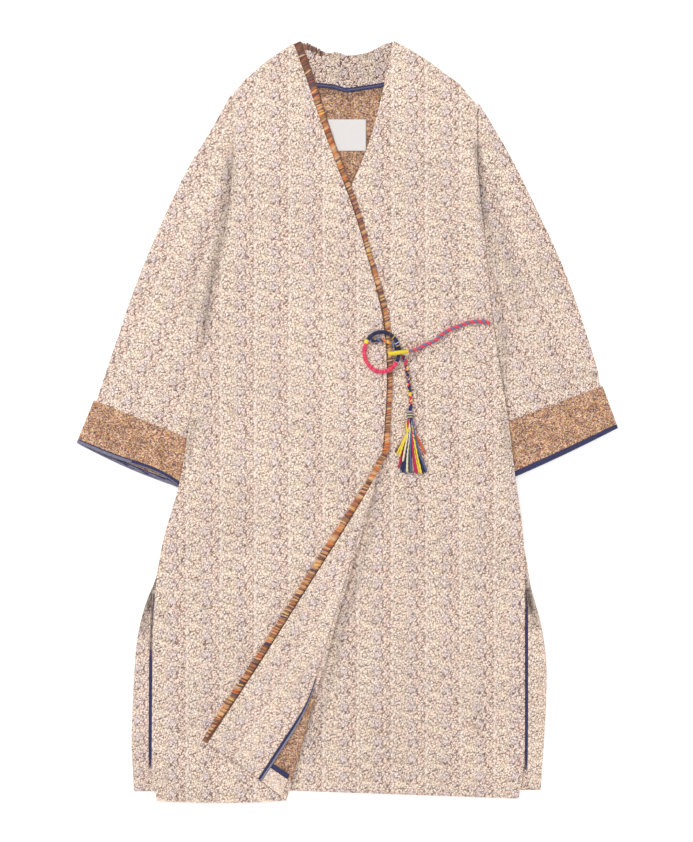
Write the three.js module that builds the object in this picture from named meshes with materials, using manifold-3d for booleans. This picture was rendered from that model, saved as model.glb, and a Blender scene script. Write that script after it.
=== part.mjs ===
// A long kaftan coat laid flat on a table, front side up: the wearer's right front lies over the left one
// and its lower corner is folded back. Millimetres, +Z up, +Y towards the collar, origin under the middle.
import * as THREE from 'three';
import * as BufferGeometryUtils from 'three/addons/utils/BufferGeometryUtils.js';
import Module from 'manifold-3d';

const wasm = await Module();
wasm.setup();

// Cloth and seams
const CLOTH = 2; // wall of the jacquard cloth
const FACING = 1.2; // wall of facings
const SLEEVE_WALL = 1.5;
const SEAM_GAP = 0.3; // between pieces that are sewn or lie on each other
const LAYER_GAP = 0.6; // between layers round a bend
const BINDING_WIDTH = 6.5;
const BINDING_THICK = 1.8;
const FLAT_BINDING = 1.5; // wall of a binding that lies on the back
const LABEL_THICK = 1;
const TRIM_THICK = 2.6; // yarn trim along the right front edge
const COLLAR_TRIM_THICK = 3;

// Heights of the mid-surface of the fronts
const ON_BACK = CLOTH + SEAM_GAP + CLOTH / 2;
const ON_NECK = 5.5; // over the neck facing and the label
const ON_SLEEVE = 6.2; // over a sleeve's inner edge
const ON_CUFF = 8.2; // over a cuff's inner end
const ON_FRONT = 6.2; // right front over the left front
const SIDE_LEVEL = 22; // width that stays level over a sleeve
const SIDE_RAMP = 24; // width over which it comes down on the back

// The folded-back corner of the right front
const FOLD_ANGLE = THREE.MathUtils.degToRad(15.8); // from the body's length
const FOLD_APEX = new THREE.Vector2(58.4, -44.2);
const FOLD_RADIUS = 2.2;
const FLAP_LIFT = 3.2; // between the mid-surfaces, once the corner lies down
const FLAP_SETTLE = 12; // distance over which it comes down to that
const FACING_WIDTH = 95;
const HEM_TURN = 22;
const HEM_BOW = 7; // how far the right front's hem hangs below a straight line
const SHOULDER_BOW = { right: 7.8, left: 10, share: 0.06 }; // rise of a front's shoulder over a straight line

// Closure
const RING = { x: 53.2, y: 107.9, z: 10.8, halfWidth: 26.8, halfHeight: 30.8, radius: 2.65 };
const BAR_RADIUS = 2.65;
const BRAID_RADIUS = 2.6;
const TWIST_RADIUS = 2.2;
const CORD_SIDES = 8;

// Each row: side edge x, y, then front edge x, y, from the shoulder to the hem.
const RIGHT_FRONT_ROWS = [
  [-179, 506, -83, 585], [-177, 467, -62, 528], [-176, 421, -42, 466], [-179, 374, -21, 408],
  [-186, 301, 9, 331], [-208, 230, 32, 250], [-217, 153, 55, 165], [-231, 75, 62, 75],
  [-244, -2, 58, -2], [-262, -106, 51, -106], [-286, -184, 50, -184], [-297, -260, 51, -260],
  [-301, -339, 52, -339], [-302, -432, 53, -432], [-302, -536, 56, -536], [-295, -588, 57, -576],
];
// Each row: front edge x, y, then side edge x, y.
const LEFT_FRONT_ROWS = [
  [71, 590, 201, 492], [58, 525, 201, 455], [41, 456, 201, 413], [29, 418, 204, 367],
  [6, 365, 209, 323], [-27, 266, 218, 230], [-64, 142, 226, 146], [-86, 7, 249, 7],
  [-95, -86, 260, -86], [-100, -184, 274, -184], [-103, -261, 275, -253], [-106, -339, 275, -339],
  [-107, -432, 275, -432], [-109, -534, 274, -534], [-109, -571, 265, -584],
];
// Each row: outer edge x, y, then inner edge x, y, from the armhole to inside the cuff, and whether it is inside it.
const RIGHT_SLEEVE_ROWS = [
  [-179, 509, -160, 359, 0], [-216, 444, -163, 320, 0], [-245, 398, -171, 281, 0], [-279, 328, -185, 232, 0],
  [-310, 258, -197, 181, 0], [-337, 188, -208, 126, 0], [-360, 119, -219, 69, 0], [-380, 60, -230, 9, 0],
  [-388.4, 33.4, -240, -28, 1], [-393.4, 21, -242.8, -41, 1],
];
const LEFT_SLEEVE_ROWS = [
  [203, 495, 186, 359, 0], [234, 444, 190, 320, 0], [260, 398, 196, 281, 0], [294, 328, 204, 232, 0],
  [327, 258, 209, 181, 0], [354, 188, 217, 131, 0], [376, 119, 224, 77, 0], [389, 78, 232, 28, 0],
  [391.3, 55.5, 242, -2, 1], [395.6, 44, 243.6, -15, 1],
];
// Below the sleeves, each row: right side x, y, then left side x, y, down to the hem.
const BACK_SIDE_ROWS = [
  [-233, -32, 236, -8], [-249, -109, 246, -96], [-256, -124, 252, -114], [-271, -150, 262, -150],
  [-290, -207, 277, -208], [-297, -246, 282, -243], [-309, -272, 288, -272], [-320, -308, 300, -311],
  [-328, -357, 308, -363], [-332, -425, 309, -416], [-335, -498, 305, -486], [-332, -548, 302, -536],
  [-331, -573, 300, -571],
];
// Each row: x, then y of the neck facing's upper and lower edges.
const NECK_ROWS = [
  [-72, 585, 529], [-56, 579, 526], [-38, 571, 524], [-19, 570, 522], [-2, 567, 516.5],
  [13, 568, 518.5], [29, 571, 521], [43, 577, 523], [58, 585, 526], [70, 588, 528],
];
// Cuffs: corners of the turned-back band, and how far the front lip stands back from a straight edge.
const CUFFS = {
  right: { outerTop: [-393, 33], innerTop: [-236, -30], outerEnd: [-420, -33], innerEnd: [-253, -105],
    frontLip: [0, -1, -1, -4, -9, -7, 0], backLip: 4.5 },
  left: { outerTop: [396, 55], innerTop: [238, -4], outerEnd: [420, -10], innerEnd: [248, -91],
    frontLip: [0, 0, 1, 1, 1, 0, 0], backLip: 2 },
};

const { smoothstep, lerp } = THREE.MathUtils;

const finish = (color, roughness = 0.92) => new THREE.MeshStandardMaterial({ color, roughness, metalness: 0 });
const jacquard = () => finish(0xdbc4b5);
const reverseCloth = () => finish(0xbc947a);
const navyTape = () => finish(0x464673, 0.8);

// A spline through table rows of [x, y, x, y, ...], read at v from 0 to 1 as a list of the same numbers.
function rowCurve(rows) {
  const pairs = [];
  for (let k = 0; k + 1 < rows[0].length; k += 2) {
    pairs.push(new THREE.CatmullRomCurve3(rows.map((row) => new THREE.Vector3(row[k], row[k + 1], 0))));
  }
  return (v) => pairs.flatMap((curve) => {
    const p = curve.getPoint(v);
    return [p.x, p.y];
  });
}

// A closed wall: at(i, j, side) gives the point in row j and column i on the lower (0) or upper (1) side.
function wall(columns, rows, at) {
  const positions = [];
  const index = [];
  const id = (i, j, side) => (side * (rows + 1) + j) * (columns + 1) + i;
  for (const side of [0, 1]) {
    for (let j = 0; j <= rows; j++) {
      for (let i = 0; i <= columns; i++) positions.push(...at(i, j, side).toArray());
    }
  }
  const quad = (a, b, c, d) => index.push(a, b, c, a, c, d);
  for (let j = 0; j < rows; j++) {
    for (let i = 0; i < columns; i++) {
      quad(id(i, j, 1), id(i, j + 1, 1), id(i + 1, j + 1, 1), id(i + 1, j, 1));
      quad(id(i, j, 0), id(i + 1, j, 0), id(i + 1, j + 1, 0), id(i, j + 1, 0));
    }
  }
  for (let i = 0; i < columns; i++) {
    quad(id(i, 0, 0), id(i, 0, 1), id(i + 1, 0, 1), id(i + 1, 0, 0));
    quad(id(i, rows, 0), id(i + 1, rows, 0), id(i + 1, rows, 1), id(i, rows, 1));
  }
  for (let j = 0; j < rows; j++) {
    quad(id(0, j, 0), id(0, j + 1, 0), id(0, j + 1, 1), id(0, j, 1));
    quad(id(columns, j, 0), id(columns, j, 1), id(columns, j + 1, 1), id(columns, j + 1, 0));
  }
  return outward(positions, index);
}

// A closed tube wall: at(k, j, inside) gives point k of the ring in section j.
function tubeWall(ring, sections, at) {
  const positions = [];
  const index = [];
  const id = (k, j, inside) => (inside * (sections + 1) + j) * ring + (k % ring);
  for (const inside of [0, 1]) {
    for (let j = 0; j <= sections; j++) {
      for (let k = 0; k < ring; k++) positions.push(...at(k, j, inside).toArray());
    }
  }
  const quad = (a, b, c, d) => index.push(a, b, c, a, c, d);
  for (let k = 0; k < ring; k++) {
    for (let j = 0; j < sections; j++) {
      quad(id(k, j, 0), id(k + 1, j, 0), id(k + 1, j + 1, 0), id(k, j + 1, 0));
      quad(id(k, j, 1), id(k, j + 1, 1), id(k + 1, j + 1, 1), id(k + 1, j, 1));
    }
    quad(id(k, 0, 0), id(k, 0, 1), id(k + 1, 0, 1), id(k + 1, 0, 0));
    quad(id(k, sections, 0), id(k + 1, sections, 0), id(k + 1, sections, 1), id(k, sections, 1));
  }
  return outward(positions, index);
}

// Turns every face over when the shape came out inside out.
function outward(positions, index) {
  const p = (n) => new THREE.Vector3().fromArray(positions, n * 3);
  let volume = 0;
  for (let t = 0; t < index.length; t += 3) {
    volume += p(index[t]).dot(p(index[t + 1]).cross(p(index[t + 2])));
  }
  if (volume < 0) index.reverse();
  const geometry = new THREE.BufferGeometry();
  geometry.setAttribute('position', new THREE.Float32BufferAttribute(positions, 3));
  geometry.setIndex(index);
  geometry.computeVertexNormals();
  return geometry;
}

const coat = new THREE.Group();

function addPiece(name, geometry, material) {
  const mesh = new THREE.Mesh(geometry, material);
  mesh.name = name;
  coat.add(mesh);
}

const rightFront = rowCurve(RIGHT_FRONT_ROWS);
const leftFront = rowCurve(LEFT_FRONT_ROWS);

// x of one edge of a front at height y, by halving the spline's range; edge is 0 or 2.
function edgeAt(front, edge, y) {
  let [low, high] = [0, 1];
  for (let step = 0; step < 24; step++) {
    const middle = (low + high) / 2;
    if (front(middle)[edge + 1] > y) low = middle;
    else high = middle;
  }
  return front(low)[edge];
}

// Heights of y between which a front rises and sinks again over what lies under it
const OVER_CUFF = { from: -172, full: -118, fullTo: 62, to: 100 };
const UNDERARM = { from: -190, full: -125 }; // no sleeve lies under the side below the cuff
const NECK_RISE = { left: 440, right: 350, length: 40 };
const OVER_LEFT_FRONT = { from: -56, full: -18 }; // distances past the left front's edge

// Height of a front where it lies on the neck facing, a sleeve or a cuff; inward is the distance from its side.
function frontHeight(y, inward, neckEnd) {
  const onCuff = smoothstep(y, OVER_CUFF.from, OVER_CUFF.full) * (1 - smoothstep(y, OVER_CUFF.fullTo, OVER_CUFF.to));
  const side = lerp(ON_SLEEVE, ON_CUFF, onCuff) - ON_BACK;
  const atSide = smoothstep(y, UNDERARM.from, UNDERARM.full) * (1 - smoothstep(inward, SIDE_LEVEL, SIDE_LEVEL + SIDE_RAMP));
  const neckLift = (ON_NECK - ON_BACK) * smoothstep(y, neckEnd, neckEnd + NECK_RISE.length);
  return ON_BACK + Math.max(side * atSide, neckLift);
}

function leftFrontHeight(x, y) {
  return frontHeight(y, edgeAt(leftFront, 2, y) - x, NECK_RISE.left);
}

function rightFrontHeight(x, y) {
  const own = frontHeight(y, x - edgeAt(rightFront, 0, y), NECK_RISE.right);
  const past = x - edgeAt(leftFront, 0, y);
  return Math.max(own, lerp(ON_BACK, ON_FRONT, smoothstep(past, OVER_LEFT_FRONT.from, OVER_LEFT_FRONT.full)));
}

// The right front's cloth is cut flat; this puts a point of the flat cut in place, over the fold.
const foldAlong = new THREE.Vector2(-Math.sin(FOLD_ANGLE), -Math.cos(FOLD_ANGLE));
const foldAcross = new THREE.Vector2(Math.cos(FOLD_ANGLE), -Math.sin(FOLD_ANGLE));
const ROLL = Math.PI * FOLD_RADIUS;

function rolled(x, y) {
  const from = new THREE.Vector2(x, y).sub(FOLD_APEX);
  const past = from.dot(foldAcross) + FOLD_RADIUS;
  if (past <= 0) return new THREE.Vector3(x, y, rightFrontHeight(x, y));
  const turn = Math.min(past / FOLD_RADIUS, Math.PI);
  const beyond = Math.max(past - ROLL, 0);
  const across = FOLD_RADIUS * (Math.sin(turn) - 1) - beyond;
  const flat = FOLD_APEX.clone().addScaledVector(foldAlong, from.dot(foldAlong)).addScaledVector(foldAcross, across);
  const settled = FLAP_LIFT + (2 * FOLD_RADIUS - FLAP_LIFT) * Math.exp(-beyond / FLAP_SETTLE);
  const lift = beyond > 0 ? settled : FOLD_RADIUS * (1 - Math.cos(turn));
  return new THREE.Vector3(flat.x, flat.y, rightFrontHeight(flat.x, flat.y) + lift);
}

function onRightFront(x, y, away) {
  const step = 0.25;
  const alongX = rolled(x + step, y).sub(rolled(x - step, y));
  const alongY = rolled(x, y + step).sub(rolled(x, y - step));
  return rolled(x, y).addScaledVector(alongX.cross(alongY).normalize(), away);
}

function hemBow(v, u) {
  return -HEM_BOW * smoothstep(v, 0.93, 1) * Math.sin(Math.PI * Math.min(u * 1.25, 1));
}

function shoulderBow(side, v, u) {
  return SHOULDER_BOW[side] * (1 - smoothstep(v, 0, SHOULDER_BOW.share)) * Math.sin(Math.PI * u);
}

// Columns step over the level and the ramp at the side, then evenly to the roll.
const SIDE_STEPS = [0, 10, SIDE_LEVEL, 34, SIDE_LEVEL + SIDE_RAMP];
const EVEN_STEPS = 6;
const ROLL_STEPS = 4;
const FACING_STEPS = 4;
const FLAP_START = SIDE_STEPS.length - 1 + EVEN_STEPS + ROLL_STEPS; // column where the cloth is turned right over
const BINDING_COLUMN = FLAP_START + 2; // inner edge of the facing's binding
const FACING_COLUMN = BINDING_COLUMN + 1; // inner edge of the facing
const EDGE_COLUMN = FACING_COLUMN + FACING_STEPS;

// Share of the way down at which the right front's edge is at height y.
function rightFrontRowAt(y) {
  let [low, high] = [0, 1];
  for (let step = 0; step < 24; step++) {
    const middle = (low + high) / 2;
    if (rightFront(middle)[3] > y) low = middle;
    else high = middle;
  }
  return low;
}

// Rows of the right front: even down the body, closer where the edge turns over, and at the hem's turn-up.
const TURN_TOP = -576 + HEM_TURN;
const RIGHT_ROWS = [
  ...[0, 1, 2, 3, 4, 5, 6, 7, 8, 9, 10, 11, 12, 13].map((n) => (n / 13) * rightFrontRowAt(-38)),
  ...[-43, -47, -51, -55, -60, -66, -73, -83, -105, -140, -180].map(rightFrontRowAt),
  ...[-225, -270, -315, -360, -402, -440, -480, -518].map(rightFrontRowAt),
  ...[TURN_TOP + BINDING_WIDTH + SEAM_GAP, TURN_TOP, TURN_TOP - 15].map(rightFrontRowAt), 1,
];

// Places of one row's points on the flat cut.
function rightFrontPlaces(v) {
  const [sideX, sideY, edgeX, edgeY] = rightFront(v);
  const foldX = FOLD_APEX.x - (FOLD_APEX.y - edgeY) * Math.tan(FOLD_ANGLE) - FOLD_RADIUS / Math.cos(FOLD_ANGLE);
  const rollStart = Math.min(foldX, edgeX - 14);
  const rollEnd = rollStart + ROLL / Math.cos(FOLD_ANGLE);
  const closeUp = Math.min(1, (rollStart - sideX) / 110); // the steps close up along the shoulder
  const places = SIDE_STEPS.map((inward) => sideX + inward * closeUp);
  const last = places.at(-1);
  for (let i = 1; i <= EVEN_STEPS; i++) places.push(lerp(last, rollStart, i / EVEN_STEPS));
  for (let i = 1; i <= ROLL_STEPS; i++) places.push(lerp(rollStart, rollEnd, i / ROLL_STEPS));
  const flap = edgeX - rollEnd;
  places.push(rollEnd + 0.02 * flap);
  places.push(Math.max(edgeX - FACING_WIDTH - BINDING_WIDTH - SEAM_GAP, rollEnd + 0.04 * flap));
  const facingX = Math.max(edgeX - FACING_WIDTH, rollEnd + 0.06 * flap);
  for (let i = 0; i <= FACING_STEPS; i++) places.push(lerp(facingX, edgeX, i / FACING_STEPS));
  return places.map((x) => {
    const u = (x - sideX) / (edgeX - sideX);
    return [x, lerp(sideY, edgeY, u) + hemBow(v, u) + shoulderBow('right', v, u)];
  });
}

const rightFrontGrid = RIGHT_ROWS.map((v) => rightFrontPlaces(v).map(([x, y]) => {
  const middle = onRightFront(x, y, 0);
  return { middle, normal: onRightFront(x, y, 1).sub(middle) };
}));

// A wall on part of the right front's grid: columns and rows may end between its points.
function patchOnRightFront([columnFrom, columnTo], [rowFrom, rowTo], away, thick) {
  const stops = (from, to) => {
    const list = [from];
    for (let n = Math.floor(from) + 1; n < to; n++) list.push(n);
    return [...list, to];
  };
  const columns = stops(columnFrom, columnTo);
  const rows = stops(rowFrom, rowTo);
  const corner = (i, j, off) => {
    const { middle, normal } = rightFrontGrid[j][i];
    return middle.clone().addScaledVector(normal, off);
  };
  return wall(columns.length - 1, rows.length - 1, (i, j, side) => {
    const off = away + (side - 0.5) * thick;
    const [column, row] = [Math.floor(columns[i]), Math.floor(rows[j])];
    const [alongX, alongY] = [columns[i] - column, rows[j] - row];
    const nextColumn = Math.min(column + 1, EDGE_COLUMN);
    const nextRow = Math.min(row + 1, RIGHT_ROWS.length - 1);
    const upper = corner(column, row, off).lerp(corner(nextColumn, row, off), alongX);
    const lower = corner(column, nextRow, off).lerp(corner(nextColumn, nextRow, off), alongX);
    return upper.lerp(lower, alongY);
  });
}

function buildRightFront() {
  return patchOnRightFront([0, EDGE_COLUMN], [0, RIGHT_ROWS.length - 1], 0, CLOTH);
}

function buildLeftFront() {
  const rows = 26;
  const even = 6;
  const columns = SIDE_STEPS.length + even - 1;
  return wall(columns, rows, (i, j, side) => {
    const [edgeX, edgeY, sideX, sideY] = leftFront(j / rows);
    const width = sideX - edgeX;
    const inward = i < SIDE_STEPS.length ? SIDE_STEPS[i]
      : lerp(SIDE_STEPS.at(-1), width, (i - SIDE_STEPS.length + 1) / even);
    const u = 1 - inward / width;
    const x = lerp(edgeX, sideX, u);
    const y = lerp(edgeY, sideY, u) + shoulderBow('left', j / rows, u);
    return new THREE.Vector3(x, y, leftFrontHeight(x, y) + (side - 0.5) * CLOTH);
  });
}

function buildBack() {
  const gap = 1.2; // the rounded edge of a sleeve stands this far off
  const shoulders = [[-109, 567, 110, 567], [-145, 541, 148, 541], [-172, 515, 187, 512]];
  const armholes = [1, 2, 3, 4, 5, 6, 7].map((n) => {
    const [right, left] = [RIGHT_SLEEVE_ROWS[n], LEFT_SLEEVE_ROWS[n]];
    return [right[2] + gap, right[3], left[2] - gap, left[3]];
  });
  const armholeTop = [
    [-170, 450, 195, 450], [-163, 395, 189, 395], [-158.6, 359, 184.8, 359],
  ];
  const outline = rowCurve([...shoulders, ...armholeTop, ...armholes, ...BACK_SIDE_ROWS]);
  const [columns, rows] = [6, 44];
  return wall(columns, rows, (i, j, side) => {
    const [rightX, rightY, leftX, leftY] = outline(j / rows);
    const u = i / columns;
    return new THREE.Vector3(lerp(rightX, leftX, u), lerp(rightY, leftY, u), side * CLOTH);
  });
}

// Places round a flattened tube: across, 0 to 1 from the outer edge, and up, 0 to 1.
const ACROSS = [0.03, 0.12, 0.3, 0.5, 0.7, 0.88, 0.97];
const TUBE_RING = [[0, 0.5], ...ACROSS.map((u) => [u, 1]), [1, 0.5], ...ACROSS.toReversed().map((u) => [u, 0])];

// Point of a flattened tube's ring; the inner ring lies a wall further in all round.
function tubePoint(place, base, height, thick, inside, width) {
  const [across, up] = place;
  const inset = inside ? (thick * 2.1) / width : 0;
  const u = inset + across * (1 - 2 * inset);
  const z = inside ? base + thick + up * (height - 2 * thick) : base + up * height;
  return [u, z];
}

// Flattened sleeve: height of the tube, of its belly, and of its end, which is raised inside the cuff.
const SLEEVE = { height: 4.2, belly: 2.2, endHeight: 2.8, endWall: 1.2, endBase: 1.9 };

function buildSleeve(table) {
  const steps = 2; // sections for each row of the table
  const sections = (table.length - 1) * steps;
  const outline = rowCurve(table);
  return tubeWall(TUBE_RING.length, sections, (k, j, inside) => {
    const [outerX, outerY, innerX, innerY] = outline(j / sections);
    const tucked = table[Math.ceil(j / steps)][4] === 1;
    const across = TUBE_RING[k][0];
    const base = tucked ? SLEEVE.endBase : 0;
    const belly = SLEEVE.belly * smoothstep(j / sections, 0.1, 0.35); // flat where the front lies over the armhole
    const height = tucked ? SLEEVE.endHeight : SLEEVE.height + belly * Math.sin(Math.PI * across) ** 2;
    const thick = tucked ? SLEEVE.endWall : SLEEVE_WALL;
    const width = Math.hypot(outerX - innerX, outerY - innerY);
    const [u, z] = tubePoint(TUBE_RING[k], base, height, thick, inside, width);
    return new THREE.Vector3(lerp(outerX, innerX, u), lerp(outerY, innerY, u), z);
  });
}

const CUFF_HEIGHT = 6.4;
const CUFF_BELLY = 0.5;

// A stretch of a cuff from one share of its depth to another.
function buildCuff(cuff, from, to, sections, thick, grow) {
  const lip = new THREE.SplineCurve(cuff.frontLip.map((back, n) => new THREE.Vector2(n, back)));
  return tubeWall(TUBE_RING.length, sections, (k, j, inside) => {
    const [across, up] = TUBE_RING[k];
    const v = lerp(from, to, j / sections);
    const height = CUFF_HEIGHT + CUFF_BELLY * Math.sin(Math.PI * across) ** 2;
    const top = cuff.outerTop.map((a, n) => lerp(a, cuff.innerTop[n], across));
    const end = cuff.outerEnd.map((a, n) => lerp(a, cuff.innerEnd[n], across));
    const long = Math.hypot(end[0] - top[0], end[1] - top[1]);
    const back = cuff.backLip * Math.sin(Math.PI * across);
    const reach = v + v * v * lerp(back, lip.getPoint(across).y, up) / long;
    const width = Math.hypot(cuff.outerTop[0] - cuff.innerTop[0], cuff.outerTop[1] - cuff.innerTop[1]);
    const [u, z] = tubePoint(TUBE_RING[k], 0, height + grow, thick, inside, width);
    const shift = u - across;
    const x = lerp(top[0], end[0], reach) + shift * (cuff.innerTop[0] - cuff.outerTop[0]);
    const y = lerp(top[1], end[1], reach) + shift * (cuff.innerTop[1] - cuff.outerTop[1]);
    return new THREE.Vector3(x, y, z);
  });
}

const facingLayer = -(CLOTH / 2 + LAYER_GAP + FACING / 2); // on the side that the fold turns up
const bindingLayer = -(CLOTH / 2 + LAYER_GAP + BINDING_THICK / 2);

// Facing, hem turn-up and their bindings on the folded-back corner. Shares of a column keep them apart.
function buildFlap() {
  const apart = 0.08;
  const last = RIGHT_ROWS.length - 1;
  const hemRow = last - 0.1;
  const turnRow = last - 2; // the turn-up's upper edge
  const facingStart = 22; // row where the fold is wide enough for the facing
  const bindingStart = 29; // row where its binding comes out from under the body
  addPiece('flap_facing', patchOnRightFront([FACING_COLUMN, EDGE_COLUMN - 0.02], [facingStart, hemRow],
    facingLayer, FACING), jacquard());
  addPiece('flap_facing_binding', patchOnRightFront([BINDING_COLUMN, FACING_COLUMN - apart], [bindingStart, hemRow],
    bindingLayer, BINDING_THICK), navyTape());
  addPiece('flap_hem_facing', patchOnRightFront([FLAP_START + 1, BINDING_COLUMN - apart / 4], [turnRow, hemRow],
    facingLayer, FACING), jacquard());
  addPiece('flap_hem_binding', patchOnRightFront([FLAP_START + 1, BINDING_COLUMN - apart / 4],
    [turnRow - 1, turnRow - apart], bindingLayer, BINDING_THICK), navyTape());
}

// Yarn trim: a thick strip along the right front's edge, over the fold and down the flap.
function buildTrim() {
  const [atNeck, atRing, onFlap] = [12, 7.5, 9];
  const width = (v) => lerp(lerp(atNeck, atRing, smoothstep(v, 0, 0.35)), onFlap, smoothstep(v, 0.55, 0.7));
  return wall(2, RIGHT_ROWS.length - 1, (i, j, side) => {
    const v = RIGHT_ROWS[j];
    const [, , x, y] = rightFront(v);
    const [, , backX, backY] = rightFront(Math.max(v - 0.004, 0));
    const [, , aheadX, aheadY] = rightFront(Math.min(v + 0.004, 1));
    const along = new THREE.Vector2(aheadX - backX, aheadY - backY).normalize();
    const out = 2 * SEAM_GAP + (i / 2) * width(v);
    return onRightFront(x - along.y * out, y + along.x * out, (side - 0.5) * TRIM_THICK);
  });
}

function buildNeck() {
  const columns = 16;
  const upper = new THREE.SplineCurve(NECK_ROWS.map(([x, y]) => new THREE.Vector2(x, y)));
  const lower = new THREE.SplineCurve(NECK_ROWS.map(([x, , y]) => new THREE.Vector2(x, y)));
  const base = CLOTH + SEAM_GAP;
  // A strip between two edges, each a curve moved up by a number of millimetres that depends on the column.
  const strip = (from, to, rows, [topCurve, topMove], [lowCurve, lowMove], thick) => wall(to - from, rows, (i, j, side) => {
    const u = (from + i) / columns;
    const [high, low] = [topCurve.getPoint(u), lowCurve.getPoint(u)];
    return new THREE.Vector3(high.x, lerp(high.y + topMove(i), low.y + lowMove(i), j / rows), base + side * thick);
  });
  const still = () => 0;
  addPiece('neck_facing', strip(0, columns, 3, [upper, still], [lower, still], FACING), jacquard());
  addPiece('neck_binding', strip(0, columns, 1, [lower, () => -SEAM_GAP], [lower, () => -SEAM_GAP - BINDING_WIDTH],
    FLAT_BINDING), navyTape());
  // The trim turns over the right peak of the collar and runs out along its upper edge.
  const [peak, runOut] = [1, 5]; // columns
  const [peakHeight, endHeight] = [8, 3];
  addPiece('collar_trim', strip(peak, runOut, 1, [upper, (i) => lerp(peakHeight, endHeight, i / (runOut - peak))],
    [upper, () => SEAM_GAP], COLLAR_TRIM_THICK), finish(0xba8c68));
}

function buildLabel() {
  const label = { x: -2, y: 443.7, width: 62, height: 48.8 };
  const geometry = new THREE.BoxGeometry(label.width, label.height, LABEL_THICK);
  geometry.translate(label.x, label.y, CLOTH + SEAM_GAP + LABEL_THICK / 2);
  addPiece('label', geometry, finish(0xeeeae8, 0.8));
}

// Light facing and navy binding on the inside of the back, along the part of each side slit that shows.
// Each row: inner edge x, outer edge x, y. The binding fills the gap to the front's edge, down to its own last row.
const SLITS = {
  right: { out: -1, boundRows: 11, rows: [[-302.2, -305.4, -266], [-305.2, -321, -312], [-306.8, -328, -357],
    [-307.4, -332, -425], [-307.8, -334.5, -498], [-307.8, -331.6, -548], [-307.4, -330.6, -572]] },
  left: { out: 1, boundRows: 13, rows: [[280, 284.3, -258], [280.2, 292, -283], [280.2, 302, -322],
    [280.2, 308, -370], [280.2, 308.4, -430], [279.8, 304.4, -500], [278.6, 299.6, -570]] },
};
const SLIT_BINDING_WIDTH = 4;

function buildSlitFacings() {
  const base = CLOTH + SEAM_GAP;
  const sections = 14;
  for (const [name, { out, boundRows, rows }] of Object.entries(SLITS)) {
    const edges = rowCurve(rows.map(([inner, outer, y]) => [inner, y, outer, y]));
    addPiece(`slit_facing_${name}`, wall(2, sections, (i, j, side) => {
      const [innerX, innerY, outerX, outerY] = edges(j / sections);
      return new THREE.Vector3(lerp(innerX, outerX, i / 2), lerp(innerY, outerY, i / 2), base + side * FACING);
    }), jacquard());
    addPiece(`slit_binding_${name}`, wall(1, boundRows, (i, j, side) => {
      const [innerX, innerY] = edges(j / sections);
      return new THREE.Vector3(innerX - out * (SEAM_GAP + i * SLIT_BINDING_WIDTH), innerY, base + side * FLAT_BINDING);
    }), navyTape());
  }
}

function cordTube(points, radius, steps, sides = CORD_SIDES) {
  const path = new THREE.CatmullRomCurve3(points.map((p) => new THREE.Vector3(...p)), false, 'centripetal');
  const section = new THREE.Shape();
  for (let k = 0; k < sides; k++) {
    const angle = (2 * Math.PI * k) / sides;
    const [x, y] = [radius * Math.cos(angle), radius * Math.sin(angle)];
    if (k === 0) section.moveTo(x, y);
    else section.lineTo(x, y);
  }
  section.closePath();
  return new THREE.ExtrudeGeometry(section, { steps, extrudePath: path, bevelEnabled: false });
}

function ringArc(fromDegrees, toDegrees, radius, steps) {
  const points = [];
  for (let n = 0; n <= steps; n++) {
    const angle = THREE.MathUtils.degToRad(lerp(fromDegrees, toDegrees, n / steps));
    points.push([RING.x + RING.halfWidth * Math.cos(angle), RING.y + RING.halfHeight * Math.sin(angle), RING.z]);
  }
  return cordTube(points, radius, steps);
}

// Routes of the bar and of the two cords, x, y and z of their middles.
const BAR_ROUTE = [[63.9, 104.6, 13], [70.8, 105.4, 15.6], [78.5, 106.4, 16.8], [87, 107.4, 15.8], [94.6, 108.4, 13.2]];
const BRAID_ROUTE = [
  [95.2, 108.5, 12.9], [104.9, 110.8, 10.6], [112.5, 114.3, 8.6], [120.4, 118.6, 7.5], [135.2, 124.8, 7.3],
  [149.9, 137.2, 7.3], [165.4, 144.9, 7.5], [180.9, 151.1, 9], [190, 153.6, 9.9], [199.5, 154.8, 10.1],
  [213.4, 154.2, 10.1], [221, 151.8, 10.1],
];
const TWIST_ROUTE = [
  [86.4, 101.6, 7], [89.6, 94, 7], [92, 83, 7], [93, 75, 7], [94.5, 62.5, 7], [97.2, 45, 7], [98, 36, 7],
  [98.2, 26, 7], [97.4, 17.2, 7],
];
const TASSEL = { x: 97.2, top: 16.4, waist: -8, radius: 4 };
const STRANDS = { count: 18, radius: 1.2, spread: 21, length: 70, lean: 5.5, layer: 2.4 };

function buildClosure() {
  addPiece('ring_navy', ringArc(142.5, -30, RING.radius, 22), finish(0x2b2a55, 0.6));
  addPiece('ring_crimson', ringArc(-31, -203, RING.radius, 24), finish(0xe1455f, 0.6));
  addPiece('ring_wrap', ringArc(155.6, 143.9, RING.radius + 0.5, 3), finish(0xf1d94a, 0.6));
  addPiece('toggle_bar', cordTube(BAR_ROUTE, BAR_RADIUS, 10), finish(0xf1dc3c, 0.6));
  addPiece('cord_braided', cordTube(BRAID_ROUTE, BRAID_RADIUS, 24), finish(0xd0506c, 0.7));
  addPiece('cord_twisted', cordTube(TWIST_ROUTE, TWIST_RADIUS, 16), finish(0x6a5a6c, 0.7));
  addPiece('tassel', buildTassel(), finish(0x5a4f70, 0.8));
}

function solidOf(geometry) {
  const bare = geometry.clone();
  bare.deleteAttribute('normal');
  bare.deleteAttribute('uv');
  const merged = BufferGeometryUtils.mergeVertices(bare, 1e-4);
  return new wasm.Manifold(new wasm.Mesh({
    numProp: 3,
    vertProperties: new Float32Array(merged.attributes.position.array),
    triVerts: new Uint32Array(merged.index.array),
  }));
}

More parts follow.
